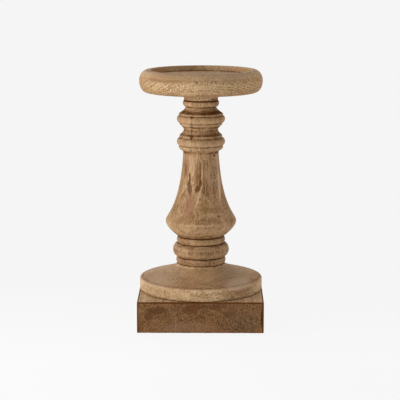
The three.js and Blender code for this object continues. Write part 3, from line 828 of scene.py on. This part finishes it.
streakAndShadeColour, spearColour, rustColour, paleAndHighlightColour = "#4a2c10", "#613a19", "#7d5231", "#cfaa83"
pinkColour, oliveColour = "#9d7155", "#8a6a38"
columnWood = {
    **mango,
    "grain": (0, 0, 1), "heart": (6, 42, 0), "seed": 3,
    "patchRange": (0.3, 0.85), "fibre": (0.9, 20, 1.8), "tearSize": (1.3, 5), "markTear": (0.8, 1, 4),
    # Across, up, half width, half height, colour, strength, raggedness, and any lean in degrees
    "marks": [
        (-8.8, 201, 1.8, 1.5, streakAndShadeColour, 0.9, 1),
        (-8.8, 196, 0.9, 5, spearColour, 0.6, 1.2),
        (-8.8, 192.5, 1.7, 2.5, streakAndShadeColour, 0.8, 1.2),
        (-8.8, 187, 1.2, 3, spearColour, 0.6, 1.5),
        (-8.8, 181.7, 2.2, 2.2, streakAndShadeColour, 0.9, 1.5),
        (-8.8, 176, 1, 4, spearColour, 0.5, 1.5),
        (-9.4, 169.6, 1.6, 2, streakAndShadeColour, 0.7, 1.2),
        # Painted highlight on the neck's upper left
        (-8.5, 154, 4.2, 14, paleAndHighlightColour, 0.5, 3),
        (-14.4, 149, 1.4, 8, spearColour, 0.6, 2),
        (-10.8, 133, 2.7, 8, spearColour, 0.8, 2.8, -5),
        (-10.6, 142.5, 0.8, 6, spearColour, 0.9, 1),
        (-3, 147, 3.6, 18, rustColour, 0.42, 2.5),
        (-3.2, 132, 3, 3.4, spearColour, 0.85, 2, 20),
        (-0.6, 138, 1.2, 4.5, spearColour, 0.8, 1.5),
        (-0.6, 149, 1.1, 15, spearColour, 0.55, 2),
        (1.5, 149, 0.9, 12, paleAndHighlightColour, 0.6, 1),
        (-1.4, 126, 1.0, 13, paleAndHighlightColour, 0.75, 0.8, 17),
        (-24, 101, 10, 8, "#a17c55", 0.55, 2),
        (-11.5, 115, 6.5, 13, pinkColour, 0.6, 2.5, 12),
        (-16.5, 127, 1, 8, spearColour, 0.6, 1, 32),
        (-13, 116, 1, 9, spearColour, 0.3, 1.5, 8),
        (13.5, 150, 5, 22, "#c2a07b", 0.65, 2),
        (4, 153, 4, 7, spearColour, 0.7, 5),
        (7.8, 146, 1.2, 18, paleAndHighlightColour, 0.4, 1.5),
        (13, 150, 3.6, 17, "#4c2706", 0.95, 5),
        (13.5, 134, 3, 11, "#4c2706", 0.8, 5),
        (13, 163.5, 1.4, 1.6, streakAndShadeColour, 0.8, 1),
        (5, 133, 4, 6, spearColour, 0.6, 5),
        (17.8, 136, 1.8, 20, paleAndHighlightColour, 0.8, 1, -4),
        (17, 160, 3.5, 12, paleAndHighlightColour, 0.45, 2),
        (8, 110, 16, 12, "#b38d62", 0.35, 3),
        (4, 113, 4.5, 5.5, oliveColour, 0.55, 3),
        (16, 112, 9, 5, rustColour, 0.3, 3),
        (17.2, 106.3, 1.1, 1.1, streakAndShadeColour, 0.9, 0.5),
        (4, 113.4, 15, 1.6, spearColour, 0.22, 1.5),
        (10, 108.3, 14, 1.3, paleAndHighlightColour, 0.4, 1.5),
        (5, 103.6, 17, 2.6, spearColour, 0.28, 2),
        (0, 98.6, 25, 1.2, paleAndHighlightColour, 0.6, 1.5),
        (-3, 95.8, 1.6, 1.3, rustColour, 0.7, 1),
        (-16, 197, 6, 4.5, "#b48765", 0.5, 2),
        (-2, 177.5, 4.5, 1.8, rustColour, 0.7, 4),
        (14, 184, 7, 3.5, rustColour, 0.5, 4),
        (8, 205, 9, 2, spearColour, 0.6, 3),
        (-3, 70, 14, 5, spearColour, 0.4, 5),
        (-10, 73, 5, 2, rustColour, 0.8, 3),
        (8, 68.3, 5, 1.7, oliveColour, 0.85, 2.5),
        (2, 75.5, 9, 1.3, paleAndHighlightColour, 0.5, 1.5),
        (3, 71, 11, 0.8, spearColour, 0.4, 1.2),
        (15, 72, 9, 6, spearColour, 0.95, 5),
        (-15, 72, 4, 3, paleAndHighlightColour, 0.4, 2),
        (-11.5, 79, 1.4, 1.4, spearColour, 0.7, 0.6),
        (2, 79, 18, 1.6, paleAndHighlightColour, 0.3, 3),
        (10, 60, 12, 2, spearColour, 0.8, 4),
        (-12, 58.8, 8, 1.4, rustColour, 0.8, 3),
        # Painted shade in the joint's gap on the right, under the plate
        (13, 215.2, 4.6, 1.8, streakAndShadeColour, 0.6, 0.8),
        (14.5, 212.5, 2.4, 1.5, spearColour, 0.7, 1.5),
        (13.5, 208, 2.6, 2.2, spearColour, 0.6, 2),
    ],
}
columnLow, columnHigh = levelsOf("column")
columnSeat = columnLow + columnShape["footSpigot"][1]
columnEnd = columnHigh - columnShape["plateSpigot"][1]
turnedColumn = turnPiece(
    "turned_column", columnOutline(columnShape), woodMaterial("waxedMangoColumn", columnWood),
    stainsShadeAndLight=stainShadeAndLightHeights(columnShape, columnSeat, columnEnd),
    wobble=0.15 * mm, toolMarks=0.06 * mm, seed=2.0)
hand(turnedColumn, "column_wood", "column")

# Candle plate, from its seat on the column up
plateShape = {
    "radius": 59.3, "widest": 19.1,
    "rimAbove": (8, 10), "rimBelow": (6.8, 11),  # width and height of the rim's two quarters
    "recess": 48.3, "recessDepth": 5.2, "recessRadius": 0.5,
    "collar": 16.4, "collarSeat": 15.9, "collarHeight": 1.7, "collarCove": 4.6, "undersideRise": 0.6,
    "spigotHole": 7.7, "spigotHoleDepth": 12.5,
    "plugHole": 6.15, "plugHoleDepth": 6, "sink": 4.7, "sinkLand": 0.6, "sinkDepth": 2.8,
    "screwHole": 2.55,
    # Stain and painted shade at the joint, and painted light and shade round the recess wall
    "stainShadeAndLightFromTop": [(2.5, 3, 0.22), (4, 0.6, -1), (2.6, 2, -0.9)],
    "stainShadeAndLightFromBottom": [(0, 0.8, 1.2)],
}


def plateOutline(shape):
    seat, top = levelsOf("candle_plate")
    widest = seat + shape["widest"]
    width, height = shape["rimBelow"]
    underside = widest - height
    hole, holeTop = shape["spigotHole"], seat + shape["spigotHoleDepth"]
    collar, collarTop = shape["collar"], seat + shape["collarHeight"]
    line = [(hole, holeTop), (hole, seat), (shape["collarSeat"], seat),
            (collar, seat + collar - shape["collarSeat"]), (collar, collarTop)]
    low = underside - shape["undersideRise"]
    bend(line, (collar, low), (collar + shape["collarCove"], low), steps=16)
    line.append((shape["radius"] - width, underside))
    quarter(line, (shape["radius"] - width, widest), width, height, -90, steps=20)
    width, height = shape["rimAbove"]
    quarter(line, (shape["radius"] - width, widest), width, height, 0, steps=20)
    recess, floor = shape["recess"], top - shape["recessDepth"]
    edge = shape["recessRadius"]
    line.append((recess + edge, top))
    bend(line, (recess, top), (recess, top - edge), steps=5)
    line.append((recess, floor + edge))
    bend(line, (recess, floor), (recess - edge, floor), steps=5)
    sinkTop = floor - shape["plugHoleDepth"]
    line += [
        (shape["plugHole"], floor), (shape["plugHole"], sinkTop), (shape["sink"], sinkTop),
        (shape["sink"], sinkTop - shape["sinkLand"]), (shape["screwHole"], sinkTop - shape["sinkDepth"]),
        (shape["screwHole"], holeTop), (hole, holeTop),
    ]
    return line


plateWood = {
    **mango,
    "grain": (0.05, 1, 0), "heart": (8, 0, 150), "seed": 11,
    "dark": "#84633f", "middle": "#b08d66", "light": "#d6b78e",
    # Faces that look up get a painted shade
    "sideTint": "#efe4dc", "paintedTopShade": "#dde3e1",
    "ring": (5, 0.4), "cloud": (22, 60, 0.5), "ribbon": (5, 60, 0.3), "speckle": (1.1, 1.8, 1.9),
    "lineSpacing": 2.7, "lineWidth": 0.22, "dotSize": 1.1,
    "lineOnEnd": 0.75, "lineOnSide": 0.6, "lineBand": (232.5, 2.25, 5.4), "arrisAmount": 0.25,
    "markFront": -38, "markReach": 42,
    "marks": [
        (-3, 238, 1, 1, "#3c2517", 0.9, 0.4),
        (14, 238.3, 2.4, 0.9, "#5c4030", 0.7, 1),
        (0, 240.5, 28, 3.6, "#8d6746", 0.42, 2.5),
        (28, 241, 26, 4, "#87705e", 0.4, 3),
        (-30, 240, 24, 4.5, "#8f6945", 0.65, 3),
        (-36, 244, 18, 0.9, "#8d5a3e", 0.55, 1),
        (0, 244.8, 48, 1, "#7d6044", 0.5, 2),
        (0, 224.5, 52, 2.6, "#86683f", 0.45, 2),
        (0, 233, 28, 3, "#dcbb92", 0.35, 3),
        # Painted shade in the joint's gap on the right, over the column
        (13, 217, 8, 2.4, "#5a3818", 0.6, 0.8),
    ],
}
turnedPlate = turnPiece(
    "turned_plate", plateOutline(plateShape), woodMaterial("waxedMangoPlate", plateWood),
    stainsShadeAndLight=stainShadeAndLightHeights(plateShape, *levelsOf("candle_plate")),
    sides=162, wobble=0.15 * mm, toolMarks=0.05 * mm, seed=5.0)
hand(turnedPlate, "plate_wood", "candle_plate")

# Plug over the plate's screw, glued in and sanded flush
plugShape = {"radius": 6, "chamfer": 0.6}


def plugOutline(shape):
    low, high = levelsOf("plate_plug")
    radius, chamfer = shape["radius"], shape["chamfer"]
    return [(0, low), (radius - chamfer, low), (radius, low + chamfer), (radius, high), (0, high)]


plugWood = {**plateWood, "grain": (0.4, 1, 0), "heart": (-20, 0, 200), "seed": 17, "marks": [],
            "light": "#c9a77b", "middle": "#a98259"}
plug = turnPiece("plate_bung", plugOutline(plugShape), woodMaterial("waxedMangoPlug", plugWood),
                 softness=0.12, sides=60)
hand(plug, "plug_wood", "plate_plug")

# Round foot
footShape = {
    "radius": 59.6, "arris": 0.9, "rim": 12, "seat": 23.4, "hollow": 5.3, "hollowEase": 1.3,
    "spigotHole": 10.2, "boreDepth": 18.5, "screwHole": 3.3,
    "pilots": 4, "pilotCircle": 38, "pilotRadius": 1.6, "pilotDepth": 11,
    # Stain at the column's seat and the rim's edge, painted light on the top round the column, and painted
    # shadow along the bottom on the plinth
    "stainShadeAndLightFromTop": [(0, 0.8, 0.8), (5, 5, -0.35)],
    "stainShadeAndLightFromBottom": [(12.7, 0.6, 0.28), (0, 0.9, 1.2)],
}


def footOutline(shape):
    low, high = levelsOf("round_foot")
    radius, arris = shape["radius"], shape["arris"]
    rimTop = low + shape["rim"]
    bore = high - shape["boreDepth"]
    line = [(shape["screwHole"], bore), (shape["screwHole"], low), (radius - arris / 2, low),
            (radius, low + arris / 2), (radius, rimTop - arris)]
    quarter(line, (radius - arris, rimTop - arris), arris, arris, 0, steps=6)
    bend(line, (radius - arris, rimTop + shape["hollowEase"]), (shape["seat"], high - shape["hollow"]),
         (shape["seat"], high), steps=36)
    line += [(shape["spigotHole"], high), (shape["spigotHole"], bore), (shape["screwHole"], bore)]
    return line


def ringOfPlaces(count, circle):
    angles = [(i + 0.5) * 2 * math.pi / count for i in range(count)]
    return [(circle * math.cos(a), circle * math.sin(a)) for a in angles]


footWood = {
    **mango,
    "grain": (0.72, 0.7, 0.05), "heart": (0, 0, -20), "seed": 23,
    "dark": "#9e7c55", "middle": "#be9c75", "light": "#dcc09a",
    # Faces that look up get a painted shade
    "paintedTopShade": "#dcd0c5", "ring": (5, 0.3), "lineOnEnd": 0.15, "arrisAmount": 0.12,
    "cloud": (22, 90, 0.6), "ribbon": (4, 80, 0.8), "fibre": (0.9, 30, 1.8),
    "speckle": (1.2, 2.2, 2), "speckleOnEnd": 2,
    "hues": [("#a8754f", 14, 90, 0.3), ("#9a7c45", 11, 60, 0.3)],
    "markFront": -40, "markReach": 40,
    "marks": [
        (2, 37, 17, 7, "#86622f", 0.55, 5),
        # Painted light on the top near the column
        (0, 52, 24, 6, "#d1a473", 0.3, 2),
        # Painted sheen on the top's left
        (-42, 45, 16, 6, "#b69779", 0.4, 2),
        (28, 50, 20, 9, "#89684c", 0.5, 2),
        (-48, 36, 13, 8, "#a98a66", 0.35, 3),
        (32, 38, 24, 6, "#8a5c3a", 0.5, 5),
        (40, 38, 9, 5, "#8a5c3a", 0.4, 3),
        # Painted light on the top's front right
        (36, 43, 16, 5, "#cbb094", 0.5, 2),
    ],
}
footLow, footHigh = levelsOf("round_foot")
footBlank = turnPiece(
    "turned_foot", footOutline(footShape), woodMaterial("waxedMangoFoot", footWood),
    stainsShadeAndLight=stainShadeAndLightHeights(footShape, footLow, footHigh),
    sides=162, wobble=0.15 * mm, toolMarks=0.05 * mm, seed=8.0)
footPlaces = ringOfPlaces(footShape["pilots"], footShape["pilotCircle"])
pilot = (footShape["pilotRadius"], footLow + footShape["pilotDepth"])
turnedFoot = cut(footBlank, [drill(at, footLow, pilot) for at in footPlaces])
hand(turnedFoot, "foot_wood", "round_foot")

# Plinth: a sawn block with its arrises worn round
plinthShape = {
    "cell": 4, "arris": 0.55, "arrisSteps": 4, "cornerOver": 1,  # radians between an arris's faces
    # Wear: its most, the size of its patches, what it adds everywhere, how far it reaches in arrises,
    # and the share of the block's width within which a face counts as near
    "wear": 0.35, "wearSize": 9, "wearBase": 0.15, "wearReach": 1.6, "wearNear": 0.25, "seed": 4,
    "screwHole": 3.3, "counterbore": 11, "counterboreDepth": 9,
    "footScrewHole": 2.3, "footCounterbore": 5,
    "pocket": 10.3, "pocketDepth": 1, "padInset": 16,
}


def plinthBlock(shape, material):
    low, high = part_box("plinth")
    size, middle = high - low, (low + high) / 2
    block = cubeAt(middle, size)
    for axis in range(3):
        cuts = math.ceil(size[axis] / mm / shape["cell"]) - 1
        for i in range(1, cuts + 1):
            spot, facing = low.copy(), Vector((0, 0, 0))
            spot[axis] += size[axis] * i / (cuts + 1)
            facing[axis] = 1
            bmesh.ops.bisect_plane(block, geom=block.verts[:] + block.edges[:] + block.faces[:],
                                   plane_co=spot, plane_no=facing)
    edges = [e for e in block.edges if len(e.link_faces) == 2 and e.calc_face_angle() > shape["cornerOver"]]
    bmesh.ops.bevel(block, geom=edges, offset=shape["arris"] * mm, segments=shape["arrisSteps"],
                    profile=0.5, affect="EDGES")
    reach = shape["arris"] * shape["wearReach"]
    for vertex in block.verts:
        depth = [size[i] / 2 - abs(vertex.co[i] - middle[i]) for i in range(3)]
        corner = sorted(depth)[1] / mm
        if corner > reach:
            continue
        worn = noise.noise(vertex.co / (shape["wearSize"] * mm) + Vector((shape["seed"], 0, 0)))
        push = max(0, worn + shape["wearBase"]) * shape["wear"] * (1 - corner / reach)
        inwards = Vector([math.copysign(1, middle[i] - vertex.co[i])
                          if depth[i] < size[i] * shape["wearNear"] else 0 for i in range(3)])
        vertex.co += inwards.normalized() * push * mm
    for face in block.faces:
        face.smooth = True
    return pieceOf(block, "sawn_plinth", material)


plinthLow, plinthHigh = levelsOf("plinth")
plinthMiddle = sum(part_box("plinth"), Vector()) / 2 / mm
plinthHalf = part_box("plinth")[1] / mm - plinthMiddle
lower = Vector((0, 0, 5))  # keeps the dark line off the bottom edges
plinthDark, plinthRust, plinthPale = "#4a2b0c", "#5e3518", "#96765a"
plinthWood = {
    **mango,
    "grain": (0, 1, 0.02), "heart": (2, 0, -17), "seed": 31,
    "dark": "#8a6843", "middle": "#b3906b", "light": "#cfae86",
    "endTint": "#ae9981", "hues": [("#99694b", 14, 90, 0.3)],
    "ring": (3, 0.55), "ray": (50, 6, 20, 3.4), "rayOnSide": 0.1,
    "speckle": (1.2, 2.4, 2), "speckleOnEnd": 2, "patchRange": (0.8, 1.3), "cloud": (16, 90, 1),
    "edgeLine": (plinthMiddle - lower, plinthHalf + lower, 1.7),
    "lineColour": "#9b7c5c", "lineOnEnd": 0.4, "lineSpacing": 3,
    "markFront": -62, "markReach": 5,
    "marks": [
        (-41, 22.5, 13, 5, plinthDark, 0.65, 3.8),
        (-49, 16.5, 5.5, 6, plinthDark, 0.6, 3.8),
        (-36, 16, 10, 3.5, plinthDark, 0.3, 3.8),
        (-26, 19, 5, 11, plinthPale, 0.2, 3.5),
        (-23.3, 9, 0.8, 11, plinthPale, 0.7, 0.6),
        (-9, 24, 11, 7, plinthRust, 0.7, 3.5),
        (0, 16, 8, 3, plinthDark, 0.5, 3.5),
        (14, 26, 6, 4, plinthRust, 0.6, 3.5),
        (20, 26.5, 36, 4.5, plinthDark, 0.35, 3.5),
        (-14, 6, 34, 7, plinthPale, 0.4, 3.5),
        (33, 27.5, 14, 3, plinthPale, 0.4, 4),
        (28, 19, 9, 5, plinthDark, 0.5, 3.5),
        (42, 12, 22, 16, "#806a54", 0.25, 3),
        (36, 11, 25, 14, "#442c18", 0.7, 5),
        (-57, 8, 4, 8, plinthRust, 0.4, 3),
        (60.3, 16, 4, 16, "#24150f", 0.9, 0.8),
    ],
}
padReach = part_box("plinth")[1].x / mm - plinthShape["padInset"]
padPlaces = [(padReach * x, padReach * y) for x, y in ((1, 1), (-1, 1), (-1, -1), (1, -1))]
sunk, through = plinthLow + plinthShape["counterboreDepth"], plinthHigh + clearOf
pocket = (plinthShape["pocket"], plinthLow + plinthShape["pocketDepth"])
drills = [drill((0, 0), plinthLow, (plinthShape["counterbore"], sunk), (plinthShape["screwHole"], through))]
drills += [drill(at, plinthLow, (plinthShape["footCounterbore"], sunk),
                 (plinthShape["footScrewHole"], through)) for at in footPlaces]
drills += [drill(at, plinthLow, pocket) for at in padPlaces]
plinthBlank = plinthBlock(plinthShape, woodMaterial("waxedMangoPlinth", plinthWood))
sawnPlinth = cut(plinthBlank, drills)
hand(sawnPlinth, "plinth_wood", "plinth")

# Screws, drawn head up with the head's top at height 0
zinc = zincMaterial(zincPlate)
screws = {
    "plateScrew": {"shank": 2.25, "core": 1.6, "pitch": 2.1, "threadStart": 5.9,
                   "head": 4.5, "headHeight": 2.6, "land": 0.4},
    "footScrew": {"shank": 2, "core": 1.4, "pitch": 1.8, "threadStart": 23.4,
                  "head": 4, "headHeight": 2.6, "crown": 1.4},
    "baseScrew": {"shank": 3, "core": 2.2, "pitch": 2.6, "threadStart": 34.2,
                  "acrossFlats": 10, "headHeight": 4,
                  # The cone that rounds the corners off: from the flats at the top, from the corners below
                  "coneTop": (-0.4, 0.2), "coneFoot": (2, -1.2)},
}
crossShape = {"width": 1.1, "depth": 1.4, "share": 0.55}  # share of the head that its arms reach
tipTaper = 3
stepsInPitch = 10


def shaft(screw, length):
    # The point, the threaded core and the plain shank, in steps fine enough for the thread
    shank, core, start = screw["shank"], screw["core"], screw["threadStart"]
    threaded = length - tipTaper - start
    steps = math.ceil(threaded / screw["pitch"] * stepsInPitch)
    line = [(0, -length)] + [(core, tipTaper - length + threaded * i / steps) for i in range(steps + 1)]
    return line + [(shank, shank - core - start)]


def countersunk(screw):
    head = screw["head"]
    return [(screw["shank"], -screw["headHeight"]), (head, -screw["land"]), (head, 0), (0, 0)]


def panHead(screw):
    head, crown = screw["head"], screw["crown"]
    line = [(screw["shank"], -screw["headHeight"]), (head, -screw["headHeight"]), (head, -crown)]
    quarter(line, (0, -crown), head, crown, 0)
    return line


def plainEnd(screw):
    # Ends halfway up inside a head of its own
    return [(screw["shank"], -screw["headHeight"] / 2), (0, -screw["headHeight"] / 2)]


def makeScrew(name, screw, head, node, at=(0, 0), upsideDown=False):
    low, high = levelsOf(node)
    return turnPiece(
        name, shaft(screw, high - low) + head(screw), zinc, at=(*at, low if upsideDown else high),
        upsideDown=upsideDown, softness=0.12, longest=20, sides=48, crease=math.radians(30),
        threadDepth=(screw["shank"] - screw["core"]) * mm, threadPitch=screw["pitch"] * mm,
        threadLow=(low - high) * mm, threadHigh=-screw["threadStart"] * mm)


def cutCross(piece, screw, at, top):
    arm, width = screw["head"] * crossShape["share"] * 2 * mm, crossShape["width"] * mm
    depth, centre = crossShape["depth"] * 2 * mm, Vector((*at, top)) * mm
    bars = [cubeAt(centre, size) for size in ((arm, width, depth), (width, arm, depth))]
    return cut(piece, [pieceOf(bar, "cutter") for bar in bars])


plateScrew = makeScrew("countersunk_screw", screws["plateScrew"], countersunk, "plate_screw")
plateScrew = cutCross(plateScrew, screws["plateScrew"], (0, 0), levelsOf("plate_screw")[1])
hand(plateScrew, "screw_steel", "plate_screw")

for number, at in enumerate(footPlaces, 1):
    node = f"foot_screw_{number}"
    footScrew = makeScrew(f"pan_head_screw_{number}", screws["footScrew"], panHead, node, at, True)
    footScrew = cutCross(footScrew, screws["footScrew"], at, levelsOf(node)[0])
    hand(footScrew, "screw_steel", node)


def hexagonHead(screw, top):
    # A prism whose corners are rounded off by a cone, as on a forged head
    flat, height = screw["acrossFlats"] / 2, screw["headHeight"]
    corner = flat / math.cos(math.pi / 6)
    inside, above = screw["coneTop"]
    outside, below = screw["coneFoot"]
    prism = [(0, -height), (corner, -height), (corner, 0), (0, 0)]
    cone = [(0, -height - clearOf), (corner + outside, -height - clearOf), (corner + outside, below),
            (flat + inside, above), (0, above)]
    place = {"at": (0, 0, top), "upsideDown": True, "softness": 0, "longest": 20}
    head = turnPiece("head", prism, zinc, sides=6, crease=math.radians(20), **place)
    return cut(head, [turnPiece("form", cone, zinc, sides=48, **place)], "INTERSECT")


def joinPieces(name, *things):
    joined = bmesh.new()
    for thing in things:
        joined.from_mesh(thing.data)
    material = things[0].data.materials[0]
    for thing in things:
        discard(thing)
    return pieceOf(joined, name, material)


baseShaft = makeScrew("shaft", screws["baseScrew"], plainEnd, "base_screw", upsideDown=True)
baseHead = hexagonHead(screws["baseScrew"], levelsOf("base_screw")[0])
hand(joinPieces("hexagon_screw", baseShaft, baseHead), "screw_steel", "base_screw")

# Washer, stamped, with its edges slightly rolled over
washerShape = {"hole": 3.3, "radius": 9}
low, high = levelsOf("base_washer")
hole, rim = washerShape["hole"], washerShape["radius"]
outline = [(hole, low), (rim, low), (rim, high), (hole, high), (hole, low)]
washer = turnPiece("plain_washer", outline, zinc, softness=0.3, sides=64)
hand(washer, "screw_steel", "base_washer")

# Felt pads, punched from sheet and glued into their pockets
felt = feltMaterial(woolFelt)
padRadius = 10
for number, at in enumerate(padPlaces, 1):
    node = f"felt_pad_{number}"
    low, high = levelsOf(node)
    outline = [(0, low), (padRadius, low), (padRadius, high), (0, high)]
    pad = turnPiece(f"felt_disc_{number}", outline, felt, at=(*at, 0), softness=0.35,
                    sides=72, wobble=0.3 * mm, seed=float(number))
    hand(pad, "pad_felt", node)

print("all pieces made")
